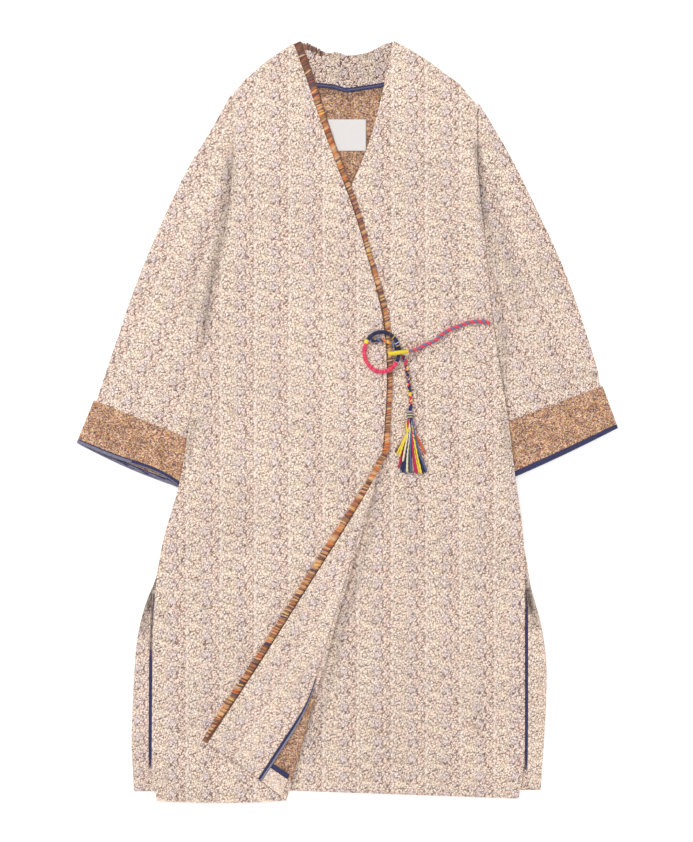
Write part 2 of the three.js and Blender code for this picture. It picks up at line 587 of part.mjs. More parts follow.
// A wrapped head whose strands fan out below it in two layers.
function buildTassel() {
  const { x, top, waist, radius } = TASSEL;
  const floor = ON_BACK + CLOTH / 2;
  const middle = floor + 0.5 + radius;
  let tassel = solidOf(cordTube([[x, top, middle], [x, (top + waist) / 2, middle], [x + 0.8, waist, middle]], radius, 4, 10));
  for (let n = 0; n < STRANDS.count; n++) {
    const across = (n + 0.5) / STRANDS.count - 0.5;
    const upper = n % 2;
    const tipX = x + STRANDS.lean + 2 * across * STRANDS.spread;
    const tipY = waist - STRANDS.length + 9 * Math.abs(across) + 5 * Math.sin(n * 2.4);
    const rootX = x + 0.6 + across * radius;
    const z = floor + 0.5 + STRANDS.radius + upper * STRANDS.layer;
    const strand = [[rootX, waist + 5, middle - 1.6 + upper * 2], [lerp(rootX, tipX, 0.28), waist - 18, z + 1],
      [lerp(rootX, tipX, 0.65), lerp(waist, tipY, 0.66), z], [tipX, tipY, z]];
    tassel = tassel.add(solidOf(cordTube(strand, STRANDS.radius, 3, 3)));
  }
  const mesh = tassel.getMesh();
  const geometry = new THREE.BufferGeometry();
  geometry.setAttribute('position', new THREE.BufferAttribute(mesh.vertProperties, 3));
  geometry.setIndex(new THREE.BufferAttribute(mesh.triVerts, 1));
  geometry.computeVertexNormals();
  return geometry;
}

addPiece('back', buildBack(), reverseCloth());
addPiece('front_left', buildLeftFront(), jacquard());
addPiece('front_right', buildRightFront(), jacquard());
addPiece('front_trim', buildTrim(), finish(0xba8c68));
addPiece('sleeve_right', buildSleeve(RIGHT_SLEEVE_ROWS), jacquard());
addPiece('sleeve_left', buildSleeve(LEFT_SLEEVE_ROWS), jacquard());
for (const [name, cuff] of Object.entries(CUFFS)) {
  const depth = Math.hypot(cuff.outerEnd[0] - cuff.outerTop[0], cuff.outerEnd[1] - cuff.outerTop[1]);
  const seam = 1 - (BINDING_WIDTH + SEAM_GAP) / depth;
  addPiece(`cuff_${name}`, buildCuff(cuff, 0, seam, 3, SLEEVE_WALL, 0), reverseCloth());
  addPiece(`cuff_binding_${name}`, buildCuff(cuff, seam + SEAM_GAP / depth, 1, 1, BINDING_THICK, 0), navyTape());
}
buildFlap();
buildNeck();
buildLabel();
buildSlitFacings();
buildClosure();

export default coat;
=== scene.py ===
import math
import random

import bmesh
import bpy
from mathutils import Matrix, Vector, noise
from mathutils.bvhtree import BVHTree


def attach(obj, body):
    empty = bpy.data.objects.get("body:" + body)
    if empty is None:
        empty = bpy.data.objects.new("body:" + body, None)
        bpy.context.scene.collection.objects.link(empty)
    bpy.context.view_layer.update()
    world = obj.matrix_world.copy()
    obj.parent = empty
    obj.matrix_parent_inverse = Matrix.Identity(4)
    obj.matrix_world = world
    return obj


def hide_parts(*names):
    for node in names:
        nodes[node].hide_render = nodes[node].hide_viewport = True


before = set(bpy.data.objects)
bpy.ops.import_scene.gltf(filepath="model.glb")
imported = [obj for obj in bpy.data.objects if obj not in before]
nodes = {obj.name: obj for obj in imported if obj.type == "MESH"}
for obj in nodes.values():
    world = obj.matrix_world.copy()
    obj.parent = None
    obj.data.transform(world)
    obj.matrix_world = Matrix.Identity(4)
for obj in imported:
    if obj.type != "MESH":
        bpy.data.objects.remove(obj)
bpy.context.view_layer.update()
mm = 0.001


def placesOf(table, height=0.0):  # millimetres to points in metres
    return [Vector((p[0], p[1], p[2] if len(p) > 2 else height)) * mm for p in table]


# ---- camera, lights and world ----
camera = {"x": -0.0012, "y": 0.0008, "height": 6.0, "lens": 165.5, "sensor": 36}
studio = {
    "world": (1.0, 0.995, 0.985), "worldStrength": 0.70,
    "key": {"place": (-1.9, 2.1, 2.6), "size": 1.3, "power": 76},
    "fill": {"place": (1.7, -1.4, 3.2), "size": 2.4, "power": 28},
}


def linked(name, data, materials=()):
    piece = bpy.data.objects.new(name, data)
    bpy.context.collection.objects.link(piece)
    for material in materials:
        data.materials.append(material)
    return piece


def makeCamera():
    data = bpy.data.cameras.new("camera")
    data.lens = camera["lens"]
    data.sensor_width = camera["sensor"]
    eye = linked("camera", data)
    eye.location = (camera["x"], camera["y"], camera["height"])
    bpy.context.scene.camera = eye


def makeLight(name, values):
    data = bpy.data.lights.new(name, "AREA")
    data.energy = values["power"]
    data.size = values["size"]
    lamp = linked(name, data)
    lamp.location = values["place"]
    lamp.rotation_euler = (-Vector(values["place"])).to_track_quat("-Z", "Y").to_euler()


makeCamera()
for lamp in ("key", "fill"):
    makeLight(f"{lamp}Light", studio[lamp])
world = bpy.data.worlds.new("studio")
world.use_nodes = True
background = world.node_tree.nodes["Background"].inputs
background["Color"].default_value = (*studio["world"], 1)
background["Strength"].default_value = studio["worldStrength"]
bpy.context.scene.world = world
bpy.context.scene.view_settings.view_transform = "Standard"
print("camera and lights")


# ---- shader helpers ----
def colourOf(r, g, b):  # screen colour from 0 to 255 to the linear one that shaders use
    linear = [(c / 255 / 12.92) if c < 10.3 else ((c / 255 + 0.055) / 1.055) ** 2.4 for c in (r, g, b)]
    return (*linear, 1.0)


def newGroup(name, inputs, outputs):  # inputs without a value are vectors
    group = bpy.data.node_groups.new(name, "ShaderNodeTree")
    for label, value in inputs.items():
        kind = "NodeSocketVector" if value is None else "NodeSocketFloat"
        socket = group.interface.new_socket(label, in_out="INPUT", socket_type=kind)
        if value is not None:
            socket.default_value = value
    for label in outputs:
        kind = "NodeSocketColor" if label == "Colour" else "NodeSocketFloat"
        group.interface.new_socket(label, in_out="OUTPUT", socket_type=kind)
    return group, group.nodes.new("NodeGroupInput").outputs, group.nodes.new("NodeGroupOutput").inputs


def feed(tree, socket, value):
    if isinstance(value, bpy.types.NodeSocket):
        tree.links.new(value, socket)
    else:
        socket.default_value = value


def added(tree, kind, values=None, **settings):  # a new node, its settings and what goes into it
    node = tree.nodes.new(kind)
    for name, setting in settings.items():
        setattr(node, name, setting)
    for label, value in (values or {}).items():
        feed(tree, node.inputs[label], value)
    return node


def calc(tree, operation, *values, clamp=False):
    node = added(tree, "ShaderNodeMath", dict(enumerate(values)), operation=operation, use_clamp=clamp)
    return node.outputs[0]


def sumsIn(tree):  # adding, taking away, multiplying and dividing in one tree
    def operation(kind):
        return lambda first, second: calc(tree, kind, first, second)
    return [operation(kind) for kind in ("ADD", "SUBTRACT", "MULTIPLY", "DIVIDE")]


def steps(tree, value, low, high, outLow=0.0, outHigh=1.0):  # soft step between two values
    limits = {"Value": value, "From Min": low, "From Max": high, "To Min": outLow, "To Max": outHigh}
    return added(tree, "ShaderNodeMapRange", limits, interpolation_type="SMOOTHSTEP").outputs["Result"]


def blendColour(tree, share, first, second, kind="MIX"):
    colours = {"Factor": share, 6: first, 7: second}
    return added(tree, "ShaderNodeMix", colours, data_type="RGBA", blend_type=kind).outputs[2]


def noiseOf(tree, place, scale, detail=2.0):
    values = {"Vector": place, "Scale": scale, "Detail": detail}
    return added(tree, "ShaderNodeTexNoise", values).outputs["Fac"]


def rampOf(tree, value, stops, stepped=False):
    node = tree.nodes.new("ShaderNodeValToRGB")
    node.color_ramp.interpolation = "CONSTANT" if stepped else "LINEAR"
    marks = node.color_ramp.elements
    while len(marks) < len(stops):
        marks.new(0.5)
    for mark, (position, shade) in zip(marks, stops):
        mark.position = position
        mark.color = colourOf(*shade)
    feed(tree, node.inputs["Fac"], value)
    return node.outputs["Color"]


def useGroup(tree, group, values):
    return added(tree, "ShaderNodeGroup", values, node_tree=group).outputs


def attributeOf(tree, name):
    return added(tree, "ShaderNodeAttribute", attribute_name=name).outputs["Fac"]


def objectPlace(tree, turn=0.0, shift=(0, 0, 0)):  # object coordinates, turned and moved
    values = {"Vector": added(tree, "ShaderNodeTexCoord").outputs["Object"],
              "Rotation": (0, 0, math.radians(turn)), "Location": shift}
    return added(tree, "ShaderNodeMapping", values, vector_type="TEXTURE").outputs["Vector"]


def placeParts(tree, place):
    return added(tree, "ShaderNodeSeparateXYZ", {0: place}).outputs


def newMaterial(name, roughness=0.85, sheen=0.0):
    material = bpy.data.materials.new(name)
    material.use_nodes = True
    shader = material.node_tree.nodes["Principled BSDF"]
    shader.inputs["Roughness"].default_value = roughness
    shader.inputs["Specular IOR Level"].default_value = 0.25
    if sheen:
        shader.inputs["Sheen Weight"].default_value = sheen
        shader.inputs["Sheen Roughness"].default_value = 0.5
    return material, material.node_tree


def finished(material, colour, height, strength, depth):  # colour and relief go into the material
    tree = material.node_tree
    bump = added(tree, "ShaderNodeBump", {"Height": height, "Strength": strength, "Distance": depth})
    shader = tree.nodes["Principled BSDF"].inputs
    feed(tree, shader["Base Color"], colour)
    feed(tree, shader["Normal"], bump.outputs["Normal"])
    return material


# ---- shared effects ----
def makeSpotGroup():  # soft oval spot and its outline, in shares of the repeat
    values = {"U": 0.0, "V": 0.0, "Centre U": 0.5, "Centre V": 0.5, "Radius U": 0.2, "Radius V": 0.2,
              "Softness": 0.2}
    group, source, result = newGroup("SoftSpot", values, ("Mask", "Outline"))
    plus, minus, times, over = sumsIn(group)
    across = over(minus(source["U"], source["Centre U"]), source["Radius U"])
    down = over(minus(source["V"], source["Centre V"]), source["Radius V"])
    away = calc(group, "SQRT", plus(times(across, across), times(down, down)))
    soft = source["Softness"]
    feed(group, result["Mask"], steps(group, away, minus(1.0, soft), plus(1.0, soft), 1.0, 0.0))
    rim = calc(group, "ABSOLUTE", minus(away, 1.0))
    feed(group, result["Outline"], steps(group, rim, 0.0, soft, 1.0, 0.0))
    return group


def makeThreadGroup():  # fine crossing threads, as a height
    group, source, result = newGroup("ThreadWeave", {"Place": None, "Threads": 1400.0}, ("Height",))
    parts = placeParts(group, source["Place"])
    times = sumsIn(group)[2]
    turns = times(source["Threads"], math.pi)
    waves = [calc(group, "SINE", times(parts[axis], turns)) for axis in ("X", "Y")]
    feed(group, result["Height"], times(*[calc(group, "ABSOLUTE", wave) for wave in waves]))
    return group


scroll = {  # sizes in metres, colours as on a screen
    "width": 0.0530, "height": 0.0271, "lineX": 0.1229, "bandY": -0.244,
    "curlSize": 0.0039, "wanderSize": 0.0049, "tileShift": 0.037, "waver": 0.0065,
    "cream": (255, 234, 216), "pink": (255, 227, 211), "lavender": (252, 233, 228),
    "oval": (255, 232, 200), "petal": (232, 214, 220), "line": (255, 236, 220), "blush": (250, 214, 196),
    "ink": (90, 60, 48), "inkBlue": (92, 78, 92), "inkRust": (124, 74, 54),
}


def wallsOf(tree, place, size, thin, wide):  # walls between cells of a given size, 1 on the wall
    values = {"Vector": place, "Scale": 1 / size}
    cells = added(tree, "ShaderNodeTexVoronoi", values, feature="DISTANCE_TO_EDGE")
    return steps(tree, cells.outputs["Distance"], thin, wide, 1.0, 0.0)


def makeScrollGroup(spot):  # one repeat of the woven scroll pattern: dense dark curls on a pale ground
    values = {"Place": None, "Ink": 1.0, "Line": 1.0}
    group, source, result = newGroup("WovenScroll", values, ("Colour", "Height"))
    plus, minus, times, over = sumsIn(group)

    def grain(scale, detail=1):
        return noiseOf(group, source["Place"], scale, detail)

    # a slight waver, so that no line of the repeat is ruler-straight
    parts = placeParts(group, source["Place"])
    wavered = times(minus(grain(130, 2), 0.5), scroll["waver"])
    u = calc(group, "FRACT", over(plus(parts["X"], wavered), scroll["width"]))
    v = calc(group, "FRACT", over(plus(parts["Y"], wavered), scroll["height"]))
    tile = {"X": calc(group, "MULTIPLY_ADD", u, scroll["width"], scroll["tileShift"]),
            "Y": calc(group, "MULTIPLY_ADD", v, scroll["height"], scroll["tileShift"])}
    inTile = added(group, "ShaderNodeCombineXYZ", tile).outputs[0]

    def spotAt(cu, cv, ru, rv, soft):
        return useGroup(group, spot, {"U": u, "V": v, "Centre U": cu, "Centre V": cv,
                                      "Radius U": ru, "Radius V": rv, "Softness": soft})

    oval = spotAt(0.27, 0.50, 0.16, 0.34, 0.6)
    petal = spotAt(0.57, 0.72, 0.12, 0.24, 0.7)
    blush = spotAt(0.82, 0.46, 0.17, 0.40, 0.7)
    bud = spotAt(0.60, 0.26, 0.10, 0.20, 0.3)
    colour = rampOf(group, grain(120, 3), [
        (0.36, scroll["pink"]), (0.47, scroll["cream"]), (0.56, scroll["cream"]),
        (0.66, scroll["lavender"])])
    patchy = steps(group, grain(60, 2), 0.35, 0.65, 0.2, 1.0)
    tints = [("blush", times(blush["Mask"], 0.30)), ("oval", times(oval["Mask"], times(patchy, 0.45))),
             ("petal", times(petal["Mask"], 0.5))]
    for name, share in tints:
        colour = blendColour(group, share, colour, colourOf(*scroll[name]))
    # curls are the thin walls between small cells; most repeat, and some wander from one repeat to the next
    curls = wallsOf(group, inTile, scroll["curlSize"], 0.05, 0.10)
    wandering = wallsOf(group, source["Place"], scroll["wanderSize"], 0.03, 0.08)
    broken = steps(group, grain(330), 0.44, 0.52, 0.0, 1.0)
    gaps = steps(group, noiseOf(group, inTile, 210, 1), 0.40, 0.50, 0.25, 1.0)
    specks = steps(group, grain(620), 0.60, 0.66, 0.0, 0.6)
    # fewer marks inside the oval, more at its right rim, on the blush and at the row's edge
    density = steps(group, oval["Mask"], 0.0, 1.0, 0.90, 0.80)
    density = plus(density, times(blush["Mask"], 0.03))
    density = minus(density, times(petal["Mask"], 0.08))
    fromMiddle = calc(group, "ABSOLUTE", minus(v, 0.5))
    density = plus(density, steps(group, fromMiddle, 0.30, 0.5, 0.0, 0.04))
    marks = calc(group, "MAXIMUM", times(curls, gaps), times(wandering, broken))
    marks = times(calc(group, "MAXIMUM", marks, specks), density)
    rightRim = times(oval["Outline"], steps(group, u, 0.27, 0.36, 0.0, 0.35))
    rims = calc(group, "MAXIMUM", rightRim, times(bud["Outline"], 0.3))
    marks = calc(group, "MAXIMUM", marks, times(rims, broken))
    light = steps(group, calc(group, "ABSOLUTE", minus(u, 0.5)), 0.43, 0.49)
    worn = steps(group, grain(190), 0.35, 0.6, 0.15, 0.6)
    lined = times(times(light, source["Line"]), worn)
    marks = times(marks, minus(1.0, lined))
    colour = blendColour(group, lined, colour, colourOf(*scroll["line"]))
    ink = rampOf(group, grain(260), [
        (0.36, scroll["inkBlue"]), (0.45, scroll["ink"]), (0.56, scroll["ink"]), (0.66, scroll["inkRust"])])
    inked = calc(group, "MULTIPLY", marks, source["Ink"], clamp=True)
    feed(group, result["Colour"], blendColour(group, inked, colour, ink))
    feed(group, result["Height"], minus(1.0, marks))
    return group


reverse = {"fleckLong": 0.0017, "fleckHigh": 0.0013}


def makeFleckGroup():  # the cloth's reverse: short floats of many colours
    group, source, result = newGroup("FleckedReverse", {"Place": None, "Shade": 1.0}, ("Colour", "Height"))
    long, high = reverse["fleckLong"], reverse["fleckHigh"]
    stretch = {"Vector": source["Place"], "Scale": (1 / long, 1 / high, 1 / long)}
    stretched = added(group, "ShaderNodeMapping", stretch).outputs["Vector"]
    cells = added(group, "ShaderNodeTexVoronoi", {"Vector": stretched, "Scale": 1.0})
    parts = added(group, "ShaderNodeSeparateColor", {0: cells.outputs["Color"]})
    flecks = rampOf(group, parts.outputs[0], [
        (0.0, (204, 154, 114)), (0.20, (186, 146, 124)), (0.37, (140, 100, 82)), (0.52, (220, 176, 130)),
        (0.62, (130, 100, 106)), (0.72, (236, 208, 186)), (0.84, (184, 108, 80)), (0.90, (96, 72, 74)),
        (0.97, (232, 194, 112))], stepped=True)
    blotches = steps(group, noiseOf(group, source["Place"], 75, 3), 0.35, 0.65, 0.80, 1.08)
    # random blotches, times Shade: the cloth's tone less the painted shade
    blotchedAndShaded = blendColour(group, 1.0, flecks, calc(group, "MULTIPLY", blotches, source["Shade"]), "MULTIPLY")
    feed(group, result["Colour"], blotchedAndShaded)
    feed(group, result["Height"], calc(group, "SUBTRACT", 1.0, cells.outputs["Distance"]))
    return group


spotGroup = makeSpotGroup()
threadGroup = makeThreadGroup()
scrollGroup = makeScrollGroup(spotGroup)
fleckGroup = makeFleckGroup()


# ---- materials ----
def makeJacquard(name, turn=0.0, along=(scroll["lineX"], scroll["bandY"]), ink=1.0, line=1.0):
    material, tree = newMaterial(name, 0.88, 0.25)
    place = objectPlace(tree, turn, (along[0], along[1], 0))
    pattern = useGroup(tree, scrollGroup, {"Place": place, "Ink": ink, "Line": line})
    weave = useGroup(tree, threadGroup, {"Place": place, "Threads": 1300.0})
    drift = steps(tree, noiseOf(tree, place, 9, 3), 0.3, 0.7, 0.955, 1.03)  # slow change of tone
    plus, minus, times = sumsIn(tree)[:3]
    # attribute dim takes painted darkening off the tone: shadow along the sleeves, fronts and slits, and the
    # neck facing darker all over
    lit = minus(drift, attributeOf(tree, "dim"))
    colour = blendColour(tree, 1.0, pattern["Colour"], lit, "MULTIPLY")
    relief = plus(times(pattern["Height"], 0.8), times(weave["Height"], 0.35))
    return finished(material, colour, relief, 0.35, 0.0006)


def makeReverse(name, turn=0.0, shade=1.0):
    material, tree = newMaterial(name, 0.9, 0.2)
    place = objectPlace(tree, turn)
    # the painted shade in attribute dim takes from the reverse's tone
    lit = calc(tree, "SUBTRACT", shade, attributeOf(tree, "dim"))
    flecks = useGroup(tree, fleckGroup, {"Place": place, "Shade": lit})
    return finished(material, flecks["Colour"], flecks["Height"], 0.6, 0.0006)


tape = {
    "navy": (40, 40, 78), "navyWorn": (66, 68, 108), "lavender": (150, 144, 162), "pale": (196, 190, 204),
    "ribs": 900.0,
}


def makeTape(name, bands=((0.0, 0),)):  # bands say where navy (0) or the lavender of the painted highlight (1) starts, in across
    material, tree = newMaterial(name, 0.7, 0.15)
    place = objectPlace(tree, 20)
    fibre = noiseOf(tree, place, 700, 2)
    navy = rampOf(tree, fibre, [(0.35, tape["navy"]), (0.7, tape["navyWorn"])])
    # lavender is the painted highlight where the tape's rounded edge catches the light
    lavender = rampOf(tree, fibre, [(0.35, tape["lavender"]), (0.7, tape["pale"])])
    across = attributeOf(tree, "across")
    shade = rampOf(tree, across, [(at, [255 * pale] * 3) for at, pale in bands], stepped=True)
    weave = useGroup(tree, threadGroup, {"Place": place, "Threads": tape["ribs"]})
    return finished(material, blendColour(tree, shade, navy, lavender), weave["Height"], 0.6, 0.0005)


def makeYarn(name, stops, stepped=True):  # the attribute tint picks the colour of each strand or rib
    material, tree = newMaterial(name, 0.75, 0.3)
    colour = rampOf(tree, attributeOf(tree, "tint"), stops, stepped)
    fuzz = noiseOf(tree, objectPlace(tree, 33), 1500, 2)
    shade = steps(tree, fuzz, 0.3, 0.7, 0.82, 1.1)
    return finished(material, blendColour(tree, 1.0, colour, shade, "MULTIPLY"), fuzz, 0.7, 0.0004)


sleeveTurn, flapTurn = 23.5, -31.6  # how the cloth's grain is turned, in degrees
bodyCloth = makeJacquard("bodyCloth")
rightSleeveCloth = makeJacquard("rightSleeveCloth", -sleeveTurn, (-0.30, 0.2))
leftSleeveCloth = makeJacquard("leftSleeveCloth", sleeveTurn, (0.30, 0.2))
flapCloth = makeJacquard("flapCloth", flapTurn, (-0.10, -0.40), 0.93)
hemCloth = makeJacquard("hemCloth", -58, (-0.10, -0.55), 0.7, 0.3)
facingCloth = makeJacquard("facingCloth", 0, (-0.30, -0.40), 0.95, 0.6)
neckCloth = makeJacquard("neckCloth", 0, (-0.30, -0.40), 1.1, 0.5)
insideCloth = makeReverse("insideCloth", 0, 0.86)
cuffClothRight = makeReverse("cuffClothRight", -22, 0.95)
cuffClothLeft = makeReverse("cuffClothLeft", 22, 0.97)
navyTape = makeTape("navyTape")
# the lavender bands below are painted highlight along the tapes' rounded edges and middle
pairedTape = makeTape("pairedTape", ((0.0, 0), (0.6, 0.8)))
lipTape = makeTape("lipTape", ((0.0, 0), (0.5, 0.7), (0.94, 0.1)))
leftLipTape = makeTape("leftLipTape", ((0.0, 0.1), (0.62, 0.0), (0.8, 0.4)))
neckTape = makeTape("neckTape", ((0.0, 0), (0.36, 0.5), (0.6, 0)))
print("materials")


# ---- mesh helpers ----
def deselect():
    bpy.ops.object.select_all(action="DESELECT")


def modify(piece, kind, **settings):  # adds a modifier and applies it
    deselect()
    piece.select_set(True)
    bpy.context.view_layer.objects.active = piece
    modifier = piece.modifiers.new(kind.lower(), kind)
    for name, value in settings.items():
        setattr(modifier, name, value)
    bpy.ops.object.modifier_apply(modifier=modifier.name)


def smoothFaces(piece):
    piece.data.polygons.foreach_set("use_smooth", [True] * len(piece.data.polygons))


def settle(piece, node):
    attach(piece, "root")
    if node:
        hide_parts(node)


def nearestOn(points, x, y):  # distance in metres to a line of points, and the share of its length there
    best, at, walked = math.inf, 0.0, 0.0
    spot = Vector((x, y))
    flat = [p.to_2d() for p in points]
    for a, b in zip(flat, flat[1:]):
        step = b - a
        t = max(0.0, min(1.0, (spot - a).dot(step) / step.length_squared))
        away = (spot - a - step * t).length
        if away < best:
            best, at = away, walked + t * step.length
        walked += step.length
    return best, at / walked


creases = [  # soft creases in millimetres: line, height, half width
    ([(-150, 330), (-128, 190), (-135, 60), (-120, -80)], 1.3, 16),
    ([(-205, 20), (-192, -130), (-200, -300), (-188, -470)], 1.5, 18),
    ([(-60, 120), (-48, -20), (-70, -170)], 1.0, 14),
    ([(150, 330), (160, 230), (150, 190)], 1.0, 14),
    ([(190, -60), (176, -220), (186, -380), (170, -520)], 1.4, 18),
    ([(80, -160), (92, -320), (84, -500)], 1.1, 16),
    ([(-236, 380), (-262, 300), (-282, 230), (-300, 130)], 1.5, 12),
    ([(-205, 240), (-248, 120), (-290, 30)], 1.2, 11),
    ([(256, 370), (282, 280), (300, 190), (322, 110)], 1.5, 12),
    ([(222, 220), (262, 140), (300, 60)], 1.2, 11),
]
creases = [(placesOf(line), height * mm, half * mm) for line, height, half in creases]
waves = {"size": 0.085, "height": 1.1, "fine": 0.028, "fineHeight": 0.35}
closureArea = {"x": (0.02, 0.235), "y": (-0.095, 0.175), "soft": 0.035}


def eased(value, low, high):
    t = max(0.0, min(1.0, (value - low) / (high - low)))
    return t * t * (3 - 2 * t)


def clothLift(x, y):  # how far the laid cloth stands up at a place: never down, and still under the closure
    lift = 0.0
    for points, height, half in creases:
        away, share = nearestOn(points, x, y)
        if away < 3 * half:
            ends = eased(share, 0, 0.25) * eased(1 - share, 0, 0.25)
            lift += height * math.exp(-((away / half) ** 2)) * ends
    broad = noise.noise(Vector((x, y * 0.6, 0.3)) / waves["size"])
    fine = noise.noise(Vector((x, y, 0.7)) / waves["fine"])
    lift += waves["height"] * mm * (0.5 + 0.5 * broad) + waves["fineHeight"] * mm * (0.5 + 0.5 * fine)
    (left, right), (low, high), soft = closureArea["x"], closureArea["y"], closureArea["soft"]
    inside = eased(x, left - soft, left) * (1 - eased(x, right, right + soft))
    inside *= eased(y, low - soft, low) * (1 - eased(y, high, high + soft))
    return lift * (1 - inside)


shell = {  # turns in degrees, limits for joining triangles in radians, merging distance in metres
    "merge": 2e-6, "flat": 0.6, "squared": 3.1, "sideTurn": 56, "rimTurn": 52, "foldTurn": 110,
    "bevelTurn": 60, "fold": 0.45,
}


def paintSides(shape, seed):  # faces joined to the seed without a sharp turn are the cloth's outer side
    start = min(shape.faces, key=lambda f: (f.calc_center_median() - seed).length)
    for face in shape.faces:
        face.material_index = 1
    start.material_index = 0
    todo = [start]
    while todo:
        for edge in todo.pop().edges:
            for face in edge.link_faces:
                if face.material_index and math.degrees(edge.calc_face_angle()) < shell["sideTurn"]:
                    face.material_index = 0
                    todo.append(face)


def clothFrom(nodeName, pieceName, materials, rim=1.0, lift=1.0, bevel=0.6, levels=3, seed=None):
    mesh = nodes[nodeName].data.copy()
    mesh.materials.clear()
    piece = linked(pieceName, mesh, materials)
    shape = bmesh.new()
    shape.from_mesh(mesh)
    bmesh.ops.remove_doubles(shape, verts=shape.verts, dist=shell["merge"])
    bmesh.ops.recalc_face_normals(shape, faces=shape.faces)
    bmesh.ops.join_triangles(shape, faces=shape.faces, angle_face_threshold=shell["flat"],
                             angle_shape_threshold=shell["squared"])
    creased = shape.edges.layers.float.new("crease_edge")
    for edge in shape.edges:
        if len(edge.link_faces) == 2:
            bend = math.degrees(edge.calc_face_angle())
            corner = rim if bend > shell["rimTurn"] else 0.0
            edge[creased] = shell["fold"] if bend > shell["foldTurn"] else corner
    if seed:
        paintSides(shape, seed)
    shape.to_mesh(mesh)
    shape.free()
    modify(piece, "SUBSURF", levels=levels, render_levels=levels)
    if bevel:
        modify(piece, "BEVEL", width=bevel * mm, segments=2, limit_method="ANGLE",
               angle_limit=math.radians(shell["bevelTurn"]))
    if lift:
        for v in mesh.vertices:
            v.co.z += clothLift(v.co.x, v.co.y) * lift
    smoothFaces(piece)
    settle(piece, nodeName)
    return piece


def paint(piece, name, values):
    piece.data.attributes.new(name, "FLOAT", "POINT").data.foreach_set("value", values)


def builtFrom(name, points, faces, tints, material):
    mesh = bpy.data.meshes.new(name)
    mesh.from_pydata([tuple(p) for p in points], [], faces)
    piece = linked(name, mesh, [material])
    paint(piece, "tint", tints)
    smoothFaces(piece)
    return piece


def paintAcross(piece, line, width):  # attribute across: 0 on the line, 1 a width away
    points = placesOf(line)
    values = [nearestOn(points, v.co.x, v.co.y)[0] / (width * mm) for v in piece.data.vertices]
    paint(piece, "across", values)


def paintLean(piece, outward, gain=1.6):  # attribute across: 0 where the surface leans inward, 1 outward; the lip tape's painted highlight follows it
    leans = [max(-1.0, min(1.0, gain * v.normal.dot(outward))) for v in piece.data.vertices]
    paint(piece, "across", [0.5 + 0.5 * lean for lean in leans])


def rowsOf(spots, high):  # how far left and right each row of a strip that runs up reaches
    rows = {}
    for spot in spots:
        rows.setdefault(round(spot.y / (high * mm)), []).append(spot.x)
    found = {key: (min(row), max(row)) for key, row in rows.items()}
    return [found[round(spot.y / (high * mm))] for spot in spots]


def paintBetween(piece, turn):  # attribute across: 0 to 1 over the width of a strip that runs up at a turn
    spin = Matrix.Rotation(math.radians(-turn), 2)
    spots = [spin @ v.co.to_2d() for v in piece.data.vertices]
    reaches = rowsOf(spots, 4)
    paint(piece, "across", [(spot.x - left) / max(right - left, 1e-6)
                            for spot, (left, right) in zip(spots, reaches)])


def taperEnds(piece, above, least=0.2):  # narrows a strip at its foot and above a share of its length
    spots = [v.co.copy() for v in piece.data.vertices]
    low, high = min(p.y for p in spots), max(p.y for p in spots)
    for v, (left, right) in zip(piece.data.vertices, rowsOf(spots, 8)):
        middle, share = (left + right) / 2, (v.co.y - low) / (high - low)
        full = eased(share, -0.05, 0.1) * (1 - eased(share, above, above + 0.15))
        v.co.x = middle + (v.co.x - middle) * (least + (1 - least) * full)


def paintDim(piece, shades):  # attribute dim: painted darkening near each line, given by points, radius and amount
    values = [0.0] * len(piece.data.vertices)
    for line, radius, amount in shades:
        points, reach = placesOf(line), radius * mm
        low = Vector((min(p.x for p in points) - reach, min(p.y for p in points) - reach))
        high = Vector((max(p.x for p in points) + reach, max(p.y for p in points) + reach))
        for n, v in enumerate(piece.data.vertices):
            if low.x < v.co.x < high.x and low.y < v.co.y < high.y:
                away, share = nearestOn(points, v.co.x, v.co.y)
                ends = eased(share, 0, 0.2) * eased(1 - share, 0, 0.2)
                values[n] = max(values[n], amount * ends * (1 - eased(away, 0, reach)))
    paint(piece, "dim", values)


def smoothRoute(points, step):  # a spline through the points, evenly spaced
    line = []
    for n in range(len(points) - 1):
        a, b = points[n], points[n + 1]
        before = points[n - 1] if n else a * 2 - b
        after = points[n + 2] if n + 2 < len(points) else b * 2 - a
        count = max(2, math.ceil((b - a).length / step))
        for k in range(count):
            t = k / count
            line.append(0.5 * ((2 * a) + (b - before) * t + (2 * before - 5 * a + 4 * b - after) * t ** 2
                               + (3 * a - before - 3 * b + after) * t ** 3))
    return [*line, points[-1].copy()]


def headingAt(line, n):  # direction of a line at one of its points
    return (line[min(n + 1, len(line) - 1)] - line[max(n - 1, 0)]).normalized()


class TubeSet:  # tubes gathered into one mesh, each with a tint
    def __init__(self):
        self.points, self.faces, self.tints = [], [], []

    def add(self, line, radius, tint, sides=8, roundEnds=True):
        count = len(line)
        side = Vector((0, 0, 1))
        first = len(self.points)
        for n, point in enumerate(line):
            ahead = headingAt(line, n)
            side = (side - ahead * side.dot(ahead))
            side = side.normalized() if side.length > 1e-6 else ahead.orthogonal().normalized()
            other = ahead.cross(side)
            size = radius(n / (count - 1)) if callable(radius) else radius
            if roundEnds and n in (0, count - 1):
                size *= 0.5
            for k in range(sides):
                angle = 2 * math.pi * k / sides
                self.points.append(point + (side * math.cos(angle) + other * math.sin(angle)) * size)
                self.tints.append(tint(n / (count - 1)) if callable(tint) else tint)
        for n in range(count - 1):
            for k in range(sides):
                a, b = first + n * sides + k, first + n * sides + (k + 1) % sides
                self.faces.append((a, b, b + sides, a + sides))
        self.faces.append(tuple(first + k for k in reversed(range(sides))))
        self.faces.append(tuple(first + (count - 1) * sides + k for k in range(sides)))

    def build(self, name, material):
        return builtFrom(name, self.points, self.faces, self.tints, material)


